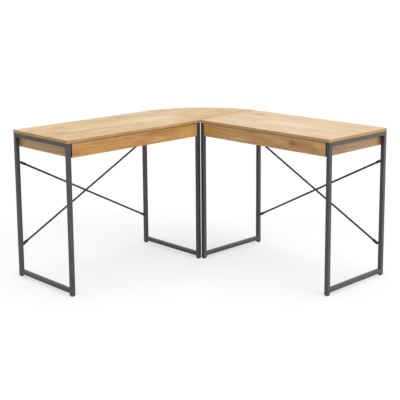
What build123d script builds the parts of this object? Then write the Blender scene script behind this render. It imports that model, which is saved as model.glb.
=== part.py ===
from build123d import *
import os

# Corner desk: two straight wings on square-tube frames, joined by a quarter-round corner top.
# Millimetres, +Z up. The origin is on the floor, in the middle of the square that the desk fits in.
# A wing is made in its own frame: p runs left to right along its front, v goes back from its front
# edge, and z goes up. The left wing faces -Y and the right wing faces -X.

# Tops
desk_height = 750.0
wing_length = 850.0
wing_depth = 450.0
top_thickness = 15.0
top_edge_radius = 1.0
seam_gap = 0.4

# Square tubes of the frames
tube_size = 20.0
tube_wall = 1.2
tube_corner = 1.5
smallest_corner = 0.3
frame_inset = 0.5
bottom_rail_rise = 7.0

# Boards under the tops
board_thickness = 15.0
board_height = 66.0
board_gap = 3.0
board_side_gap = 4.5
board_edge_radius = 0.8

# Cross braces and the lugs that carry them
brace_diameter = 10.0
brace_drop = 83.0
brace_rise = 130.0
brace_clearance = 1.0
eye_width = 13.0
eye_gap = 1.0
eye_neck = 20.0
eye_root = 8.0
eye_root_width = 4.0
lug_thickness = 4.0
lug_width = 12.0
lug_setback = 6.0
brace_bolt_diameter = 5.0
hex_width = 8.0
hex_head = 3.5
hex_nut = 4.0
bolt_tip = 1.0

# Wood screws, which hold the tops from below and the corner brackets
screw_diameter = 4.0
screw_head_diameter = 8.0
screw_head = 2.4
screw_tip = 3.0
screw_cover = 4.0
rail_screw_margin = 40.0

# Button-head bolts and the rivet nuts in the top rails
bolt_diameter = 6.0
bolt_head_diameter = 10.5
bolt_head = 3.3
socket_width = 4.0
socket_depth = 2.0
nut_barrel_diameter = 9.0
nut_bulge_diameter = 12.0
nut_bulge = 2.5
nut_length = 9.0
board_bolt_margin = 120.0
angle_bolt_margin = 80.0

# Corner brackets inside the board box
bracket_leg = 30.0
bracket_height = 40.0
bracket_thickness = 2.0
bracket_hole_reach = 20.0
bracket_hole_pitch = 22.0

# Support angles under the corner top
angle_flange = 32.0
angle_web = 30.0
angle_thickness = 3.0
angle_end_gap = 20.0
angle_corner_gap = 12.0
angle_screw_margin = 30.0

# Levelling feet and the inserts in the leg ends
foot_diameter = 18.0
foot_height = 3.7
foot_edge_radius = 1.0
foot_gap = 0.3
stem_diameter = 8.0
stem_length = 28.0
insert_flange = 3.0
insert_length = 26.0

# Clearances, each on one side
fit_clearance = 0.05
hole_clearance = 0.25

# Levels and places that follow from the sizes above
top_underside = desk_height - top_thickness
leg_bottom = foot_height + foot_gap + insert_flange
bottom_rail_low = leg_bottom + bottom_rail_rise
bottom_rail_high = bottom_rail_low + tube_size
top_rail_middle = top_underside - tube_size / 2
board_top = top_underside - board_gap
board_bottom = board_top - board_height
board_middle = (board_top + board_bottom) / 2
leg_inside = frame_inset + tube_size
front_leg_v = frame_inset + tube_size / 2
rear_leg_v = wing_depth - frame_inset - tube_size / 2
rail_front = leg_inside
rail_rear = wing_depth - leg_inside
lug_v = rail_rear + lug_setback
lug_reach = eye_width / 2 + eye_gap
brace_high = board_bottom - brace_drop
brace_low = bottom_rail_high + brace_rise
eye_thickness = brace_diameter + brace_clearance - lug_thickness
eye_shift = (lug_thickness + eye_thickness) / 2
tube_bore = tube_size - 2 * tube_wall
bore_corner = max(tube_corner - tube_wall, smallest_corner)
top_bite = top_thickness - screw_cover
board_bite = board_thickness - screw_cover
inner_corner = (wing_length - wing_depth) / 2
outer_edge = (wing_length + wing_depth) / 2

RIGHT = Vector(1, 0, 0)
BACK = Vector(0, 1, 0)
UP = Vector(0, 0, 1)


class End:
    """One end of a wing: its edge on p, and the way from that edge into the wing."""

    def __init__(self, edge, inward):
        self.edge = edge
        self.inward = inward
        self.into = RIGHT * inward

    def at(self, distance):
        return self.edge + self.inward * distance


left_end = End(0.0, 1)
right_end = End(wing_length, -1)


def block(p, v, z):
    """A box between two places on each axis."""
    low = [min(pair) for pair in (p, v, z)]
    size = [max(pair) - min(pair) for pair in (p, v, z)]
    return Pos(*low) * Box(*size, align=Align.MIN)


def pin(point, direction, diameter, length):
    """A round bar that starts at a point and runs along a direction."""
    round_end = (Align.CENTER, Align.CENTER, Align.MIN)
    return Plane(origin=point, z_dir=direction) * Cylinder(diameter / 2, length, align=round_end)


def hex_pin(point, direction, width, length):
    """A six-sided bar, its width measured across the flats."""
    outline = RegularPolygon(width / 2, 6, major_radius=False)
    return Plane(origin=point, z_dir=direction) * extrude(outline, length)


def two_places(low, high, margin):
    return [low + margin, high - margin]


def three_places(low, high, margin):
    return [low + margin, (low + high) / 2, high - margin]


# Fasteners: the point is where the head's underside sits, and the direction goes into the work.

def wood_screw(point, direction, grip, bite):
    """A pan-head wood screw that passes a sheet or tube, its grip, and bites into a board."""
    tip_start = grip + bite - screw_tip
    body = pin(point - direction * screw_head, direction, screw_head_diameter, screw_head)
    body += pin(point, direction, screw_diameter, tip_start)
    tip = Cone(screw_diameter / 2, 0, screw_tip, align=(Align.CENTER, Align.CENTER, Align.MIN))
    body += Plane(origin=point + direction * tip_start, z_dir=direction) * tip
    return body


def screw_pilot(point, direction, bite):
    """The hole that a wood screw cuts for itself, from the face of the board."""
    return pin(point, direction, screw_diameter + 2 * fit_clearance, bite)


def screw_hole(point, direction, length):
    return pin(point, direction, screw_diameter + 2 * hole_clearance, length)


def button_bolt(point, direction, length):
    body = pin(point - direction * bolt_head, direction, bolt_head_diameter, bolt_head)
    body -= hex_pin(point - direction * bolt_head, direction, socket_width, socket_depth)
    return body + pin(point, direction, bolt_diameter, length)


def bolt_hole(point, direction, length):
    return pin(point, direction, bolt_diameter + 2 * hole_clearance, length)


def rivet_nut(point, direction):
    """A rivet nut set flush in a tube wall, with its bulge drawn up behind the wall."""
    body = pin(point, direction, nut_barrel_diameter, nut_length)
    body += pin(point + direction * tube_wall, direction, nut_bulge_diameter, nut_bulge)
    return body - pin(point, direction, bolt_diameter + 2 * fit_clearance, nut_length)


def rivet_hole(point, direction):
    return pin(point, direction, nut_barrel_diameter + 2 * fit_clearance, tube_wall)


# Places of the fasteners along a top rail

rail_screws = three_places(rail_front, rail_rear, rail_screw_margin)
board_bolts = two_places(rail_front, rail_rear, board_bolt_margin)
angle_bolts = two_places(rail_front, rail_rear, angle_bolt_margin)
angle_front = angle_flange - frame_inset + angle_corner_gap
angle_rear = rail_rear - angle_end_gap
angle_screws = three_places(angle_front, angle_rear, angle_screw_margin)


def rail_screw_points(end):
    middle = end.at(frame_inset + tube_size / 2)
    return [Vector(middle, v, top_underside - tube_size) for v in rail_screws]


def board_bolt_points(end):
    face = end.at(leg_inside + board_thickness)
    return [Vector(face, v, top_rail_middle) for v in board_bolts]


def angle_bolt_points(end):
    face = end.at(frame_inset - angle_thickness)
    return [Vector(face, v, top_rail_middle) for v in angle_bolts]


def angle_screw_points(end):
    middle = end.at(frame_inset - angle_flange / 2 - angle_thickness / 2)
    return [Vector(middle, v, top_underside - angle_thickness) for v in angle_screws]


# Tops

def wing_top():
    body = block((0, wing_length), (0, wing_depth), (top_underside, desk_height))
    body = fillet(body.edges(), top_edge_radius)
    for end in (left_end, right_end):
        for point in rail_screw_points(end):
            body -= screw_pilot(point + UP * tube_size, UP, top_bite)
    return body


def corner_top(wings):
    """A quarter disc about the inner corner, with a seam to each wing."""
    quarter = Pos(seam_gap, seam_gap) * Rectangle(wing_depth, wing_depth, align=Align.MIN)
    disc = Circle(wing_depth) & quarter
    body = Pos(inner_corner, inner_corner, top_underside) * extrude(disc, top_thickness)
    body = fillet(body.edges(), top_edge_radius)
    for wing in wings:
        for point in angle_screw_points(wing.inner):
            hole = screw_pilot(point + UP * angle_thickness, UP, top_bite)
            body -= wing.place * hole
    return body


# Welded frames

def square_tube(length):
    """A hollow square tube that stands on the origin."""
    outline = RectangleRounded(tube_size, tube_size, tube_corner)
    outline -= RectangleRounded(tube_bore, tube_bore, bore_corner)
    return extrude(outline, length)


def leg(end, v):
    return Pos(end.at(frame_inset + tube_size / 2), v, leg_bottom) * square_tube(top_underside - leg_bottom)


def rail(end, low):
    """A tube from the front leg to the rear leg."""
    start = Vector(end.at(frame_inset + tube_size / 2), rail_front, low + tube_size / 2)
    return Location(start, (-90, 0, 0)) * square_tube(rail_rear - rail_front)


def top_rail(end, carries_corner):
    """The top rail, drilled for the top's screws and for the rivet nuts."""
    body = rail(end, top_underside - tube_size)
    for point in rail_screw_points(end):
        body -= screw_hole(point, UP, tube_size)
    for point in board_bolt_points(end):
        body -= rivet_hole(point - end.into * board_thickness, -end.into)
    if carries_corner:
        for point in angle_bolt_points(end):
            body -= rivet_hole(point + end.into * angle_thickness, end.into)
    return body


def lug(end, level):
    """A rounded tab on the rear leg, with the hole for a brace bolt."""
    face = end.at(leg_inside)
    hole = Vector(end.at(leg_inside + lug_reach), lug_v - lug_thickness / 2, level)
    front_to_back = (lug_v - lug_thickness / 2, lug_v + lug_thickness / 2)
    body = block((face, hole.X), front_to_back, (level - lug_width / 2, level + lug_width / 2))
    body += pin(hole, BACK, lug_width, lug_thickness)
    return body - brace_bolt_hole(hole, lug_thickness)


def frame(end, carries_corner):
    legs = [leg(end, front_leg_v), leg(end, rear_leg_v)]
    rails = [top_rail(end, carries_corner), rail(end, bottom_rail_low)]
    lugs = [lug(end, brace_high), lug(end, brace_low)]
    return legs + rails + lugs


# Boards under a top

def pierced_board(p, v, holes):
    body = block(p, v, (board_bottom, board_top))
    body = fillet(body.edges(), board_edge_radius)
    for hole in holes:
        body -= hole
    return body


def long_board(front):
    """The front or the rear board of a wing."""
    p = (left_end.at(leg_inside + board_side_gap), right_end.at(leg_inside + board_side_gap))
    v = (0, board_thickness) if front else (wing_depth - board_thickness, wing_depth)
    places = long_leg_screws(left_end, front) + long_leg_screws(right_end, front)
    holes = [screw_pilot(point, direction, board_bite) for point, direction in places]
    return pierced_board(p, v, holes)


def end_board(end):
    p = (end.at(leg_inside), end.at(leg_inside + board_thickness))
    v = (board_thickness, wing_depth - board_thickness)
    places = end_leg_screws(end, True) + end_leg_screws(end, False)
    holes = [screw_pilot(point, direction, board_bite) for point, direction in places]
    holes += [bolt_hole(point, -end.into, board_thickness) for point in board_bolt_points(end)]
    return pierced_board(p, v, holes)


# Corner brackets, one in each corner of the board box

def bracket_corner(end, front):
    """The inside corner that a bracket sits in, and its way along v."""
    p = end.at(leg_inside + board_thickness)
    v = board_thickness if front else wing_depth - board_thickness
    return p, v, 1 if front else -1


def bracket_levels():
    return [board_middle - bracket_hole_pitch / 2, board_middle + bracket_hole_pitch / 2]


def long_leg_screws(end, front):
    """Board-face points and directions of the screws into the front or rear board."""
    p, v, back = bracket_corner(end, front)
    place = p + end.inward * bracket_hole_reach
    return [(Vector(place, v, z), BACK * -back) for z in bracket_levels()]


def end_leg_screws(end, front):
    """Board-face points and directions of the screws into the end board."""
    p, v, back = bracket_corner(end, front)
    place = v + back * bracket_hole_reach
    return [(Vector(p, place, z), -end.into) for z in bracket_levels()]


def bracket(end, front):
    p, v, back = bracket_corner(end, front)
    z = (board_middle - bracket_height / 2, board_middle + bracket_height / 2)
    thick_p = p + end.inward * bracket_thickness
    thick_v = v + back * bracket_thickness
    body = block((p, p + end.inward * bracket_leg), (v, thick_v), z)
    body += block((p, thick_p), (v, v + back * bracket_leg), z)
    for point, direction in long_leg_screws(end, front) + end_leg_screws(end, front):
        body -= screw_hole(point - direction * bracket_thickness, direction, bracket_thickness)
    return body


def bracket_screws(end, front):
    places = long_leg_screws(end, front) + end_leg_screws(end, front)
    return [
        wood_screw(point - direction * bracket_thickness, direction, bracket_thickness, board_bite)
        for point, direction in places
    ]


# Support angle of the corner top, on the outer face of the inner frame's top rail

def support_angle(end):
    face = end.at(frame_inset)
    web = end.at(frame_inset - angle_thickness)
    tip = end.at(frame_inset - angle_flange)
    v = (angle_front, angle_rear)
    body = block((face, web), v, (top_underside - angle_web, top_underside))
    body += block((face, tip), v, (top_underside - angle_thickness, top_underside))
    for point in angle_bolt_points(end):
        body -= bolt_hole(point, end.into, angle_thickness)
    for point in angle_screw_points(end):
        body -= screw_hole(point, UP, angle_thickness)
    return body


# Cross braces: one runs in front of the lugs and the other behind them, so that they pass each other

def brace_ends(front):
    """The lug holes that a brace joins, as (end, level)."""
    if front:
        return [(left_end, brace_high), (right_end, brace_low)]
    return [(left_end, brace_low), (right_end, brace_high)]


def brace_bolt_hole(point, length):
    return pin(point, BACK, brace_bolt_diameter + 2 * hole_clearance, length)


def eye(reach):
    """A flat eye about the origin, with a root along +X that the rod holds."""
    outline = Circle(eye_width / 2)
    outline += Rectangle(reach, eye_width, align=(Align.MIN, Align.CENTER))
    outline += Rectangle(reach + eye_root, eye_root_width, align=(Align.MIN, Align.CENTER))
    outline -= Circle(brace_bolt_diameter / 2 + hole_clearance)
    return Pos(0, 0, -eye_thickness / 2) * extrude(outline, eye_thickness)


def brace(front):
    shift = -eye_shift if front else eye_shift
    holes = [
        Vector(end.at(leg_inside + lug_reach), lug_v + shift, level)
        for end, level in brace_ends(front)
    ]
    span = holes[1] - holes[0]
    reach = lug_width / 2 + eye_neck
    rod = pin(Vector(reach, 0, 0), RIGHT, brace_diameter, span.length - 2 * reach)
    body = rod + eye(reach) + Pos(span.length, 0, 0) * Rot(0, 0, 180) * eye(reach)
    return Plane(origin=holes[0], x_dir=span, z_dir=-BACK) * body


def brace_bolt_points(front):
    """Where each bolt head's underside sits: on the eye in front, or on the lug behind."""
    stack_front = lug_v - lug_thickness / 2 - (eye_thickness if front else 0)
    return [
        Vector(end.at(leg_inside + lug_reach), stack_front, level)
        for end, level in brace_ends(front)
    ]


def brace_bolt(point):
    grip = lug_thickness + eye_thickness
    head = hex_pin(point - BACK * hex_head, BACK, hex_width, hex_head)
    return head + pin(point, BACK, brace_bolt_diameter, grip + hex_nut + bolt_tip)


def brace_nut(point):
    seat = point + BACK * (lug_thickness + eye_thickness)
    body = hex_pin(seat, BACK, hex_width, hex_nut)
    return body - pin(seat, BACK, brace_bolt_diameter + 2 * fit_clearance, hex_nut)


# Feet

def leg_insert(end, v):
    """A plug in the leg's end, with a flange under the tube and a bore for the foot's stem."""
    plug_size = tube_bore - 2 * fit_clearance
    plug = extrude(RectangleRounded(plug_size, plug_size, bore_corner), insert_length)
    body = extrude(RectangleRounded(tube_size, tube_size, tube_corner), insert_flange)
    body += Pos(0, 0, insert_flange) * plug
    body -= pin(Vector(0, 0, 0), UP, stem_diameter + 2 * fit_clearance, insert_flange + insert_length)
    return Pos(end.at(frame_inset + tube_size / 2), v, leg_bottom - insert_flange) * body


def levelling_foot(end, v):
    """A round foot with a stem, screwed right in as it stands."""
    body = pin(Vector(0, 0, 0), UP, foot_diameter, foot_height)
    body = fillet(body.edges(), foot_edge_radius)
    body += pin(Vector(0, 0, foot_height), UP, stem_diameter, stem_length)
    return Pos(end.at(frame_inset + tube_size / 2), v, 0) * body


# The two wings: where each stands, and which of its ends meets the corner

class Wing:
    def __init__(self, name, place, inner, outer):
        self.name = name
        self.place = place
        self.inner = inner
        self.outer = outer
        self.ends = {"inner": inner, "outer": outer}


wings = [
    Wing("left", Location((-outer_edge, inner_corner, 0)), right_end, left_end),
    Wing("right", Location((inner_corner, inner_corner, 0), (0, 0, -90)), left_end, right_end),
]

nodes = {}


def add(wing, name, solids):
    """Keep one named piece, or one named group of like pieces, in the desk's frame."""
    nodes[f"{wing.name}_{name}"] = [wing.place * solid for solid in solids]


for wing in wings:
    ends = wing.ends.values()
    corners = [(end, front) for end in ends for front in (True, False)]
    bolts = [point for front in (True, False) for point in brace_bolt_points(front)]

    add(wing, "top", [wing_top()])
    add(wing, "front_board", [long_board(True)])
    add(wing, "rear_board", [long_board(False)])
    for name, end in wing.ends.items():
        add(wing, f"{name}_end_board", [end_board(end)])
        add(wing, f"{name}_frame", frame(end, end is wing.inner))
        add(wing, f"{name}_leg_inserts", [leg_insert(end, v) for v in (front_leg_v, rear_leg_v)])
        add(wing, f"{name}_front_foot", [levelling_foot(end, front_leg_v)])
        add(wing, f"{name}_rear_foot", [levelling_foot(end, rear_leg_v)])
    add(wing, "front_brace", [brace(True)])
    add(wing, "rear_brace", [brace(False)])
    add(wing, "brace_bolts", [brace_bolt(point) for point in bolts])
    add(wing, "brace_nuts", [brace_nut(point) for point in bolts])
    add(wing, "corner_brackets", [bracket(*corner) for corner in corners])
    add(wing, "bracket_screws", [screw for corner in corners for screw in bracket_screws(*corner)])
    add(wing, "top_screws", [
        wood_screw(point, UP, tube_size, top_bite) for end in ends for point in rail_screw_points(end)
    ])
    add(wing, "board_bolts", [
        button_bolt(point, -end.into, board_thickness + nut_length)
        for end in ends for point in board_bolt_points(end)
    ])
    add(wing, "board_rivet_nuts", [
        rivet_nut(point - end.into * board_thickness, -end.into)
        for end in ends for point in board_bolt_points(end)
    ])
    add(wing, "support_angle", [support_angle(wing.inner)])
    add(wing, "angle_bolts", [
        button_bolt(point, wing.inner.into, angle_thickness + nut_length)
        for point in angle_bolt_points(wing.inner)
    ])
    add(wing, "angle_rivet_nuts", [
        rivet_nut(point + wing.inner.into * angle_thickness, wing.inner.into)
        for point in angle_bolt_points(wing.inner)
    ])
    add(wing, "angle_screws", [
        wood_screw(point, UP, angle_thickness, top_bite) for point in angle_screw_points(wing.inner)
    ])

nodes["corner_top"] = [corner_top(wings)]

os.makedirs("parts", exist_ok=True)
for name, solids in nodes.items():
    shape = solids[0] if len(solids) == 1 else Compound(children=solids)
    export_step(shape, f"parts/{name}.step")
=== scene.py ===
import math

import bmesh
import bpy
from mathutils import Matrix, Vector


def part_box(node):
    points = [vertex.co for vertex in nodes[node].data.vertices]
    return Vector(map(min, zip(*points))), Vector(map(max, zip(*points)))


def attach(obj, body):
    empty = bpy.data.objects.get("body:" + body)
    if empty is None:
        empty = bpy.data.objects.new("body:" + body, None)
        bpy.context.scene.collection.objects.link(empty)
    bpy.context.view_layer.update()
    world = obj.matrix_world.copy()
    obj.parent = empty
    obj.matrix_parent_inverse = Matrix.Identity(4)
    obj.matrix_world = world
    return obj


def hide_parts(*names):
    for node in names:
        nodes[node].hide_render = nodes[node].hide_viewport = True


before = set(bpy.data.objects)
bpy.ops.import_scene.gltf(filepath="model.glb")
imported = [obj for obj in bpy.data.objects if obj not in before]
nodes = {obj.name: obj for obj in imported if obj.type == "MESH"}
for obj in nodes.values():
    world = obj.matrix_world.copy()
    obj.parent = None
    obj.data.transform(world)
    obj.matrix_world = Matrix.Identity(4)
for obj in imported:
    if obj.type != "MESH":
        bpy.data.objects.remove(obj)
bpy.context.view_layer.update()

# Looks of the corner desk: oak decor boards, powder-coated steel, moulded plastic and zinc, with the
# welds of the frames and the threads of the feet. Metres, in the part's frame. Every CAD node sits at
# the origin, so object coordinates are part coordinates.

scene = bpy.context.scene


class Nodes:
    """Builds one node tree, a line for each node."""

    def __init__(self, tree):
        self.tree = tree
        tree.nodes.clear()

    def add(self, kind, inputs=(), **settings):
        node = self.tree.nodes.new(kind)
        for key, value in settings.items():
            setattr(node, key, value)
        for key, value in dict(inputs).items():
            self.put(node.inputs[key], value)
        return node

    def put(self, socket, value):
        if isinstance(value, bpy.types.NodeSocket):
            self.tree.links.new(value, socket)
        else:
            socket.default_value = value

    def math(self, operation, a, b=0.0, c=0.0):
        return self.add("ShaderNodeMath", {0: a, 1: b, 2: c}, operation=operation).outputs[0]

    def plus(self, a, b):
        return self.math("ADD", a, b)

    def minus(self, a, b):
        return self.math("SUBTRACT", a, b)

    def times(self, a, b):
        return self.math("MULTIPLY", a, b)

    def square(self, a):
        return self.math("POWER", self.math("ABSOLUTE", a), 2.0)

    def split(self, vector):
        return self.add("ShaderNodeSeparateXYZ", {0: vector}).outputs[:3]

    def join(self, x, y, z):
        return self.add("ShaderNodeCombineXYZ", {0: x, 1: y, 2: z}).outputs[0]

    def noise(self, vector, scale, detail=2.0, roughness=0.5):
        values = {"Vector": vector, "Scale": scale, "Detail": detail, "Roughness": roughness}
        return self.add("ShaderNodeTexNoise", values).outputs[0]

    def step(self, value, low, high, start=0.0, stop=1.0):
        """A smooth step from start to stop as the value goes from low to high."""
        values = {0: value, 1: low, 2: high, 3: start, 4: stop}
        return self.add("ShaderNodeMapRange", values, interpolation_type="SMOOTHSTEP").outputs[0]

    def choose(self, factor, a, b):
        return self.add("ShaderNodeMix", {0: factor, 2: a, 3: b}, data_type="FLOAT").outputs[0]

    def blend(self, factor, a, b, kind="MIX"):
        values = {0: factor, 6: a, 7: b}
        return self.add("ShaderNodeMix", values, data_type="RGBA", blend_type=kind).outputs[2]

    def bump(self, height, strength, distance):
        values = {"Height": height, "Strength": strength, "Distance": distance}
        return self.add("ShaderNodeBump", values).outputs[0]

    def seen(self):
        """One for rays from the camera, also by way of gloss or glass, and zero for other rays."""
        path = self.add("ShaderNodeLightPath").outputs
        direct = self.math("MAXIMUM", path["Is Camera Ray"], path["Is Glossy Ray"])
        return self.math("MAXIMUM", direct, path["Is Transmission Ray"])

    def surface(self, **inputs):
        shader = self.add("ShaderNodeBsdfPrincipled", {k.replace("_", " "): v for k, v in inputs.items()})
        self.add("ShaderNodeOutputMaterial", {0: shader.outputs[0]})


def material(name):
    made = bpy.data.materials.new(name)
    made.use_nodes = True
    return made, Nodes(made.node_tree)


def rgb(r, g, b):
    return (r, g, b, 1.0)


def grey(level):
    return rgb(level, level, level)


# Oak decor

oak_tones = {
    "light": (0.72, 0.430, 0.155),
    "pale": (0.60, 0.320, 0.096),
    "warm": (0.50, 0.240, 0.058),
    "line": (0.33, 0.135, 0.028),
    "red": (0.50, 0.180, 0.045),
    "gold": (0.64, 0.300, 0.062),
    "knot": (0.17, 0.075, 0.022),
}
banded_edge = (0.87, 1.04, 1.61)
# Painted shade: the end faces of the front, rear and end boards, seen only in the narrow gaps beside the
# legs, are darkened almost to black.
end_gap_shade = (0.10, 0.09, 0.08)
matt_gloss = {"rough": (0.72, 0.84), "specular": 0.10, "coat": 0.0}
satin_gloss = {"rough": (0.36, 0.48), "specular": 0.50, "coat": 0.35}
rings_across = 60.0
ring_drift = 8.0
sway_size = 0.014
knot_rings = 2.2
knot_spread = 0.16
across_shift = 2.3
end_face_limit = 0.7
narrow_side_limit = 0.5
figure_depth = {"patch": 0.45, "light": 0.55, "dark": 0.45, "line": 0.50, "streak": 0.42}
fibre_depth = 0.22
pore_depth = 0.45

# Noise of each layer of the grain: stretch along and across the board, detail, roughness and offset
grain_layers = {
    "sway": (2.6, 9.0, 2.0, 0.5, 6.1),
    "drift": (1.4, 5.0, 1.5, 0.4, 0.0),
    "line_fade": (0.9, 5.0, 2.0, 0.5, 8.8),
    "line_break": (9.0, 210.0, 3.0, 0.6, 4.4),
    "broad": (0.7, 10.0, 3.0, 0.5, 7.7),
    "patch": (3.2, 34.0, 3.0, 0.55, 12.3),
    "cloud": (8.0, 26.0, 3.0, 0.6, 15.1),
    "streak": (2.4, 75.0, 4.0, 0.6, 1.9),
    "fibre": (14.0, 620.0, 2.0, 0.6, 5.3),
    "pores": (45.0, 1700.0, 1.0, 0.5, 9.2),
}


def oak(name, along, shift, tone_and_painted_light=(1, 1, 1), figure=1.0, marks=(), banded=False):
    """Oak grain along X or Y. Shift moves the pattern, so that boards differ, and figure is its contrast.
    A mark is a streak or knot: (tone, point, half length, half width, strength). A banded board is matt,
    with a darker band on its narrow sides. The others are satin, with their end faces darkened almost to
    black as painted shade of the narrow gaps beside the legs. The tint sets each board's tone and also
    carries painted light: painted sheen on the tops and end boards, painted shade on the right outer end."""
    made, g = material(name)
    tones = {key: rgb(*(a * b for a, b in zip(tone, tone_and_painted_light))) for key, tone in oak_tones.items()}
    place = g.add("ShaderNodeTexCoord")
    x, y, z = g.split(place.outputs["Object"])
    nx, ny, nz = g.split(place.outputs["Normal"])
    length, across, facing = (x, y, nx) if along == "X" else (y, x, ny)
    end_face = g.math("GREATER_THAN", g.math("ABSOLUTE", facing), end_face_limit)
    u = g.choose(end_face, length, across)
    w = g.choose(end_face, across, z)
    t = g.choose(end_face, z, length)

    def grain(layer):
        stretch_u, stretch_w, detail, roughness, offset = grain_layers[layer]
        vector = g.join(
            g.math("MULTIPLY_ADD", u, stretch_u, shift + offset),
            g.math("MULTIPLY_ADD", w, stretch_w, across_shift * shift),
            g.math("MULTIPLY_ADD", t, stretch_w, offset),
        )
        return g.noise(vector, 1.0, detail, roughness)

    sway = g.times(g.minus(grain("sway"), 0.5), sway_size)
    side = g.plus(g.plus(w, t), sway)
    field = g.plus(g.times(side, rings_across), g.times(grain("drift"), ring_drift))
    masks = []
    for tone, (px, py, pz), half_length, half_width, strength in marks:
        pu, pw = (px, py) if along == "X" else (py, px)
        du = g.square(g.times(g.minus(u, pu), 1.0 / half_length))
        dw = g.square(g.times(g.minus(w, pw), 1.0 / half_width))
        dt = g.square(g.times(g.minus(g.plus(t, sway), pz), 1.0 / half_width))
        far = g.plus(g.plus(du, dw), dt)
        masks.append((tone, g.times(g.math("EXPONENT", g.times(far, -1.0)), strength)))
        if tone == "knot":
            bulge = g.math("EXPONENT", g.times(far, -knot_spread))
            field = g.plus(field, g.times(bulge, knot_rings))
    ring = g.math("FRACT", field)
    line = g.times(g.step(ring, 0.15, 0.86), g.step(ring, 0.90, 1.0, 1.0, 0.0))
    line = g.times(line, g.step(grain("line_fade"), 0.35, 0.62, 0.15, 1.0))
    line = g.times(line, g.step(grain("line_break"), 0.30, 0.62, 0.25, 1.0))

    broad = grain("broad")
    patch = grain("patch")
    cloud = grain("cloud")
    streak = g.step(grain("streak"), 0.50, 0.72)
    fibre = grain("fibre")
    pores = g.step(grain("pores"), 0.60, 0.72)
    pores = g.times(pores, g.step(line, 0.0, 0.8, 0.25, 1.0))

    depth = {key: share * figure for key, share in figure_depth.items()}
    colour = g.blend(g.step(broad, 0.30, 0.70, 0.0, figure), tones["pale"], tones["warm"])
    colour = g.blend(g.step(patch, 0.52, 0.75, 0.0, depth["patch"]), colour, tones["red"])
    colour = g.blend(g.step(cloud, 0.28, 0.48, depth["light"], 0.0), colour, tones["light"])
    colour = g.blend(g.step(cloud, 0.52, 0.72, 0.0, depth["dark"]), colour, tones["line"])
    colour = g.blend(g.times(line, depth["line"]), colour, tones["line"])
    colour = g.blend(g.times(streak, depth["streak"]), colour, tones["line"])
    colour = g.blend(g.step(fibre, 0.30, 0.80, 0.0, fibre_depth), colour, tones["line"])
    colour = g.blend(g.times(pores, pore_depth), colour, tones["knot"])
    for tone, mask in masks:
        colour = g.blend(mask, colour, tones[tone])
    # The tops' narrow sides take the edge band's tone. The other boards' end faces take the painted shade
    # of the gaps.
    rim = g.math("LESS_THAN", g.math("ABSOLUTE", nz), narrow_side_limit) if banded else end_face
    rim_tone = rgb(*(a / b for a, b in zip(banded_edge if banded else end_gap_shade, tone_and_painted_light)))
    colour = g.blend(rim, colour, rim_tone, "MULTIPLY")
    relief = g.minus(g.times(fibre, 0.35), pores)
    gloss = matt_gloss if banded else satin_gloss
    g.surface(
        Base_Color=colour,
        Roughness=g.step(fibre, 0.2, 0.8, *gloss["rough"]),
        IOR=1.5,
        Specular_IOR_Level=gloss["specular"],
        Coat_Weight=gloss["coat"],
        Coat_Roughness=0.2,
        Normal=g.bump(relief, strength=0.18, distance=0.0002),
    )
    return made


# Powder-coated steel

coat_dark = rgb(0.042, 0.042, 0.043)
coat_light = rgb(0.056, 0.056, 0.058)
coat_speck = grey(0.105)
coat_specular = 0.5
# Painted shade: the braces get a darker, duller copy of the frame's powder coat.
brace_painted_shade = 0.45


def powder_coat(name, share=1.0):
    """A satin coat. A share under one makes it a darker, duller copy, which the braces get as painted
    shade.
    """
    made, g = material(name)
    place = g.add("ShaderNodeTexCoord").outputs["Object"]
    cloud = g.noise(place, scale=9.0, detail=3.0)
    peel = g.noise(place, scale=650.0, detail=2.0)
    speck = g.noise(place, scale=2600.0, detail=1.0)
    colour = g.blend(g.step(cloud, 0.3, 0.7), coat_dark, coat_light)
    colour = g.blend(g.step(speck, 0.62, 0.78, 0.0, 0.35), colour, coat_speck)
    colour = g.blend(1.0, colour, grey(share), "MULTIPLY")
    g.surface(
        Base_Color=colour,
        Specular_IOR_Level=coat_specular * share,
        Roughness=g.step(peel, 0.3, 0.7, 0.36, 0.5),
        IOR=1.42,
        Normal=g.bump(g.plus(peel, g.times(speck, 0.3)), strength=0.25, distance=0.00025),
    )
    return made


# Moulded plastic

plastic_dark = grey(0.016)
plastic_scuffed = grey(0.034)


def moulded(name):
    made, g = material(name)
    place = g.add("ShaderNodeTexCoord").outputs["Object"]
    grain = g.noise(place, scale=1800.0, detail=3.0, roughness=0.6)
    scuff = g.noise(place, scale=240.0, detail=4.0, roughness=0.65)
    colour = g.blend(g.step(scuff, 0.45, 0.75), plastic_dark, plastic_scuffed)
    g.surface(
        Base_Color=colour,
        Roughness=g.step(scuff, 0.3, 0.7, 0.42, 0.62),
        IOR=1.48,
        Normal=g.bump(grain, strength=0.3, distance=0.00015),
    )
    return made


# Zinc-plated steel

zinc_cool = rgb(0.50, 0.51, 0.52)
zinc_warm = rgb(0.66, 0.65, 0.61)


def zinc(name):
    made, g = material(name)
    place = g.add("ShaderNodeTexCoord").outputs["Object"]
    cloud = g.noise(place, scale=160.0, detail=4.0, roughness=0.6)
    brushed = g.noise(place, scale=2200.0, detail=2.0)
    colour = g.blend(g.step(cloud, 0.3, 0.7), zinc_cool, zinc_warm)
    g.surface(
        Base_Color=colour,
        Metallic=1.0,
        Roughness=g.step(cloud, 0.25, 0.75, 0.26, 0.42),
        Normal=g.bump(brushed, strength=0.12, distance=0.0001),
    )
    return made


steel = powder_coat("powder_coat_anthracite")
brace_steel_painted_shade = powder_coat("powder_coat_braces_painted_shade", brace_painted_shade)
plastic = moulded("moulded_black_plastic")
plated = zinc("zinc_plated")

# Streaks and knots of the boards, on the tops' upper faces and along the wings' front edges

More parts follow.
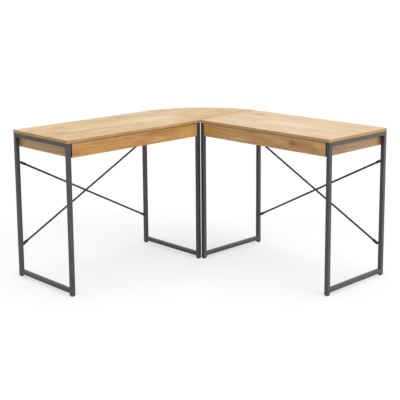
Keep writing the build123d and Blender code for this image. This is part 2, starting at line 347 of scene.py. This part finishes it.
top_level = 0.75
front_edge = 0.2
left_top_marks = [
    ("line", (-0.55, 0.40, top_level), 0.050, 0.022, 0.60),
    ("line", (-0.04, 0.567, top_level), 0.110, 0.022, 0.40),
    ("red", (-0.334, 0.611, top_level), 0.120, 0.024, 0.35),
    ("light", (-0.30, 0.45, top_level), 0.150, 0.045, 0.25),
    ("light", (0.06, 0.40, top_level), 0.160, 0.160, 0.30),
]
right_top_marks = [
    ("line", (0.553, 0.112, top_level), 0.050, 0.017, 0.80),
    ("light", (0.42, -0.25, top_level), 0.160, 0.045, 0.40),
    ("red", (0.36, -0.46, top_level), 0.070, 0.025, 0.30),
]
corner_top_marks = [
    ("red", (0.235, 0.590, top_level), 0.045, 0.030, 0.40),
    ("line", (0.455, 0.370, top_level), 0.060, 0.018, 0.40),
    ("line", (0.570, 0.208, top_level), 0.090, 0.012, 0.45),
]
left_front_marks = [
    ("line", (-0.124, front_edge, 0.719), 0.067, 0.0070, 0.80),
    ("line", (-0.060, front_edge, 0.700), 0.045, 0.0050, 0.45),
    ("red", (-0.21, front_edge, 0.690), 0.045, 0.0080, 0.75),
    ("gold", (-0.49, front_edge, 0.686), 0.090, 0.0100, 0.75),
    ("light", (0.12, front_edge, 0.696), 0.110, 0.0340, 1.00),
    ("light", (-0.09, front_edge, 0.684), 0.075, 0.0140, 0.90),
    ("light", (-0.58, front_edge, 0.715), 0.045, 0.0100, 0.50),
]
right_front_marks = [
    ("red", (front_edge, -0.478, 0.698), 0.024, 0.0140, 0.80),
    ("red", (front_edge, -0.185, 0.674), 0.050, 0.0065, 0.80),
    ("line", (front_edge, -0.555, 0.690), 0.030, 0.0080, 0.90),
    ("light", (front_edge, -0.585, 0.710), 0.040, 0.0120, 0.70),
    ("light", (front_edge, -0.360, 0.700), 0.050, 0.0120, 0.50),
    ("gold", (front_edge, 0.165, 0.700), 0.030, 0.0200, 0.60),
    ("line", (front_edge, -0.432, 0.703), 0.034, 0.0170, 0.60),
    ("knot", (front_edge, -0.428, 0.704), 0.019, 0.0110, 0.95),
]

# Painted sheen: this tint greys the end boards to stand in for the reflection of the white surroundings.
end_board_painted_sheen = (0.82, 0.94, 1.10)
# Painted shade: the right outer end board is darkened evenly, a shaded copy of the same oak.
right_end_painted_shade = (0.66, 0.66, 0.66)
front_figure = 1.4
end_figure = 1.6
# Painted sheen: the tops' tints pale their colour to stand in for the grazing reflection of the white
# surroundings, more on the right top than on the left. Their narrow sides are divided back out of it.
oak_nodes = {
    "left_top": oak("oak_left_top", "X", 1.7, (1.26, 1.83, 4.05), 0.75, left_top_marks, True),
    "right_top": oak("oak_right_top", "Y", 6.2, (1.31, 1.95, 4.50), 0.45, right_top_marks, True),
    "corner_top": oak("oak_corner_top", "X", 3.9, (1.25, 1.82, 4.05), 0.75, corner_top_marks, True),
    "left_front_board": oak(
        "oak_left_front", "X", 11.3, (0.83, 0.77, 0.54), front_figure, left_front_marks
    ),
    "right_front_board": oak(
        "oak_right_front", "Y", 15.8, (0.90, 0.95, 1.00), front_figure, right_front_marks
    ),
    "left_rear_board": oak("oak_left_rear", "X", 21.4),
    "right_rear_board": oak("oak_right_rear", "Y", 25.1),
    "left_outer_end_board": oak("oak_left_outer_end", "Y", 31.9, end_board_painted_sheen, end_figure),
    "left_inner_end_board": oak("oak_left_inner_end", "Y", 36.6, end_board_painted_sheen),
    "right_outer_end_board": oak("oak_right_outer_end", "X", 41.2, right_end_painted_shade, end_figure),
    "right_inner_end_board": oak("oak_right_inner_end", "X", 47.5, end_board_painted_sheen),
}

steel_words = ("frame", "brace_bolts", "brace_nuts", "support_angle")
plastic_words = ("foot", "leg_inserts")

for name, piece in nodes.items():
    if name in oak_nodes:
        finish = oak_nodes[name]
    elif name.endswith("_brace"):
        finish = brace_steel_painted_shade
    elif name.endswith(steel_words):
        finish = steel
    elif name.endswith(plastic_words):
        finish = plastic
    else:
        finish = plated
    piece.data.materials.clear()
    piece.data.materials.append(finish)


sharp_angle = math.radians(50)


def add_piece(name, mesh, finish, body):
    """A new smooth piece from a bmesh, with its finish, which rides on a body."""
    bmesh.ops.recalc_face_normals(mesh, faces=mesh.faces)
    data = bpy.data.meshes.new(name)
    mesh.to_mesh(data)
    mesh.free()
    for face in data.polygons:
        face.use_smooth = True
    data.set_sharp_from_angle(angle=sharp_angle)
    data.materials.append(finish)
    piece = bpy.data.objects.new(name, data)
    scene.collection.objects.link(piece)
    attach(piece, body)
    return piece


def skin(mesh, rows):
    """Faces between closed rows of vertices, and a cap on the first and the last row."""
    for low, high in zip(rows, rows[1:]):
        for i in range(len(low)):
            mesh.faces.new((low[i - 1], low[i], high[i], high[i - 1]))
    mesh.faces.new(rows[0])
    mesh.faces.new(rows[-1])


# Weld beads in the inside corners of the frames, where the rails meet the legs

up = Vector((0, 0, 1))
tube = 0.020
tube_corner = 0.0015
bottom_rail_rise = 0.007
bead_leg = 0.0032
bead_sink = 0.0006
bead_ripple = 0.0022
bead_rows = 5
bead_arc = 6
bead_end = 0.3
bead_taper = 8
bead_scallop = 0.16
bead_hollow = 0.20


def weld_bead(mesh, middle, line, faces, length):
    """A rippled bead along a line, in the corner between two faces that run along the given directions."""
    ripples = round(length / bead_ripple)
    count = ripples * bead_rows
    rows = []
    for k in range(count + 1):
        place = k / count
        scallop = abs(math.sin(math.pi * place * ripples))
        taper = min(1.0, bead_taper * place + bead_end, bead_taper * (1 - place) + bead_end)
        reach = bead_leg * taper * (1 - bead_scallop + bead_scallop * scallop)
        start = middle + line * (length * (place - 0.5))
        outline = [-(faces[0] + faces[1]) * bead_sink]
        outline.append(faces[0] * reach - faces[1] * bead_sink)
        for i in range(1, bead_arc):
            angle = math.pi / 2 * i / bead_arc
            swell = 1 - bead_hollow + bead_hollow * abs(math.cos(2 * angle))
            outline.append((faces[0] * math.cos(angle) + faces[1] * math.sin(angle)) * reach * swell)
        outline.append(faces[1] * reach - faces[0] * bead_sink)
        rows.append([mesh.verts.new(start + point) for point in outline])
    skin(mesh, rows)


def frame_welds(name):
    """Beads over and under the bottom rail and under the top rail, at both legs of a frame."""
    low, high = (Vector(corner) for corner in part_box(name))
    left = name.startswith("left")
    rail = Vector((0, 1, 0)) if left else Vector((1, 0, 0))
    side = Vector((1, 0, 0)) if left else Vector((0, 1, 0))
    middle = low.dot(side) + tube / 2 if "outer" in name else high.dot(side) - tube / 2
    rail_low = low.z + bottom_rail_rise
    corners = [(rail_low, -up), (rail_low + tube, up), (high.z - tube, -up)]
    mesh = bmesh.new()
    for leg_face, way in ((low.dot(rail) + tube, rail), (high.dot(rail) - tube, -rail)):
        for level, rise in corners:
            place = rail * leg_face + side * middle + up * level
            weld_bead(mesh, place, side, (way, rise), tube - 2 * tube_corner)
    add_piece(name.replace("frame", "welds"), mesh, steel, "desk")


for name in list(nodes):
    if name.endswith("_frame"):
        frame_welds(name)

# Levelling feet: a pad with a notched rim, on a threaded stem

pad_height = 0.0037
pad_edge = 0.0010
pad_bevel = 0.0003
notch_depth = 0.0004
stem_radius = 0.0040
thread_root = 0.0033
thread_pitch = 0.00125
thread_length = 0.0155
thread_crest = 0.25
thread_flanks = 0.5
thread_rows = 6
stem_chamfer = 0.0008
foot_sides = 36
notch_every = 3


def thread_radius(phase):
    """Flat crests and roots with straight flanks between them, over one turn."""
    flank = (thread_crest + thread_flanks - 2 * abs(phase - 0.5)) / thread_flanks
    return thread_root + (stem_radius - thread_root) * min(1.0, max(0.0, flank))


def foot(name):
    low, high = (Vector(corner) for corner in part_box(name))
    centre = (low + high) / 2
    height = high.z - low.z
    rim = (high.x - low.x) / 2
    mesh = bmesh.new()

    def ring(level, radius):
        """A row round the axis. The radius is a number, or a function of the side and its turn."""
        row = []
        for i in range(foot_sides):
            turn = i / foot_sides
            reach = radius(i, turn) if callable(radius) else radius
            angle = 2 * math.pi * turn
            place = (centre.x + reach * math.cos(angle), centre.y + reach * math.sin(angle), low.z + level)
            row.append(mesh.verts.new(place))
        return row

    def notched(i, turn):
        return rim - (notch_depth if i % notch_every == 0 else 0)

    rows = [ring(0, rim - pad_edge), ring(pad_bevel, rim - pad_bevel), ring(pad_edge, notched)]
    rows += [ring(pad_height - pad_edge, notched), ring(pad_height - pad_bevel, rim - pad_bevel)]
    rows += [ring(pad_height, rim - pad_edge), ring(pad_height, thread_root)]
    steps = round(thread_length / thread_pitch * thread_rows)
    for k in range(1, steps):
        rise = k / thread_rows
        level = pad_height + rise * thread_pitch
        rows.append(ring(level, lambda i, turn: thread_radius((rise - turn) % 1)))
    rows += [ring(pad_height + thread_length, thread_root), ring(height - stem_chamfer, thread_root)]
    rows.append(ring(height, thread_root - stem_chamfer))
    skin(mesh, rows)
    title = name.replace("foot", "levelling_foot")
    piece = add_piece(title, mesh, plastic, f"{name}_body")
    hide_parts(name)


for name in list(nodes):
    if name.endswith("_foot"):
        foot(name)

# Floor, which is white where nothing shades it

floor_half = 60.0
floor_paint = grey(0.40)
floor_paint_seen = grey(0.45)
floor_glow = 0.54


def floor_material():
    made, g = material("floor")
    seen = g.seen()
    paint = g.blend(seen, floor_paint, floor_paint_seen)
    matt = g.add("ShaderNodeBsdfDiffuse", {0: paint}).outputs[0]
    glow = g.add("ShaderNodeEmission", {0: grey(1.0), 1: g.times(seen, floor_glow)}).outputs[0]
    both = g.add("ShaderNodeAddShader", {0: matt, 1: glow}).outputs[0]
    g.add("ShaderNodeOutputMaterial", {0: both})
    return made


corners = [(x * floor_half, y * floor_half, 0.0) for x, y in ((-1, -1), (1, -1), (1, 1), (-1, 1))]
floor_mesh = bpy.data.meshes.new("floor")
floor_mesh.from_pydata(corners, [], [(0, 1, 2, 3)])
floor_mesh.materials.append(floor_material())
floor = bpy.data.objects.new("floor", floor_mesh)
scene.collection.objects.link(floor)

# World: white to look at, soft grey as light

world_light = 0.25
world_seen = 1.0
world = bpy.data.worlds.new("studio")
scene.world = world
world.use_nodes = True
g = Nodes(world.node_tree)
strength = g.choose(g.seen(), world_light, world_seen)
background = g.add("ShaderNodeBackground", {0: grey(1.0), 1: strength})
g.add("ShaderNodeOutputWorld", {0: background.outputs[0]})

# Camera at the photograph's viewing angle. Places are given from the desk's inner corner, to the
# right, away and up as the camera looks.

inner_corner = Vector((front_edge, front_edge, 0.0))
to_right = Vector((1, -1, 0)).normalized()
away = Vector((1, 1, 0)).normalized()


def spot(right, back, height):
    return inner_corner + to_right * right + away * back + up * height


camera_place = (0.0802, -4.7209, 1.4954)
camera_yaw, camera_pitch, camera_roll = -0.0139, 0.1678, -0.0069
level_forward = away * math.cos(camera_yaw) + to_right * math.sin(camera_yaw)
forward = level_forward * math.cos(camera_pitch) - up * math.sin(camera_pitch)
flat_right = to_right * math.cos(camera_yaw) - away * math.sin(camera_yaw)
flat_up = flat_right.cross(forward)
view_right = flat_right * math.cos(camera_roll) + flat_up * math.sin(camera_roll)
view_up = flat_up * math.cos(camera_roll) - flat_right * math.sin(camera_roll)

camera_data = bpy.data.cameras.new("camera")
camera_data.sensor_width = 36.0
camera_data.lens = 82.42
camera_data.shift_x = -0.0082
camera_data.shift_y = -0.175
camera_data.clip_end = 200.0
camera = bpy.data.objects.new("camera", camera_data)
turn = Matrix((view_right, view_up, -forward)).transposed().to_4x4()
camera.matrix_world = Matrix.Translation(spot(*camera_place)) @ turn
scene.collection.objects.link(camera)
scene.camera = camera


# Lamps

lamp_distance = 4.0


def soft_sun(name, right, back, height, strength, spread):
    """A wide sun, which lights near and far alike, from a direction as the camera sees it."""
    data = bpy.data.lights.new(name, "SUN")
    data.energy = strength
    data.angle = math.radians(spread)
    lamp = bpy.data.objects.new(name, data)
    source = to_right * right + away * back + up * height
    lamp.location = source * lamp_distance
    lamp.rotation_mode = "QUATERNION"
    lamp.rotation_quaternion = (-source).to_track_quat("-Z", "Y")
    scene.collection.objects.link(lamp)


soft_sun("key", right=1.0, back=-0.9, height=0.8, strength=1.8, spread=50.0)
soft_sun("fill", right=-0.8, back=-1.0, height=0.6, strength=1.3, spread=60.0)
soft_sun("top", right=0.1, back=0.2, height=1.0, strength=1.22, spread=70.0)
soft_sun("side", right=1.0, back=0.16, height=0.06, strength=1.3, spread=20.0)

scene.view_settings.view_transform = "Standard"
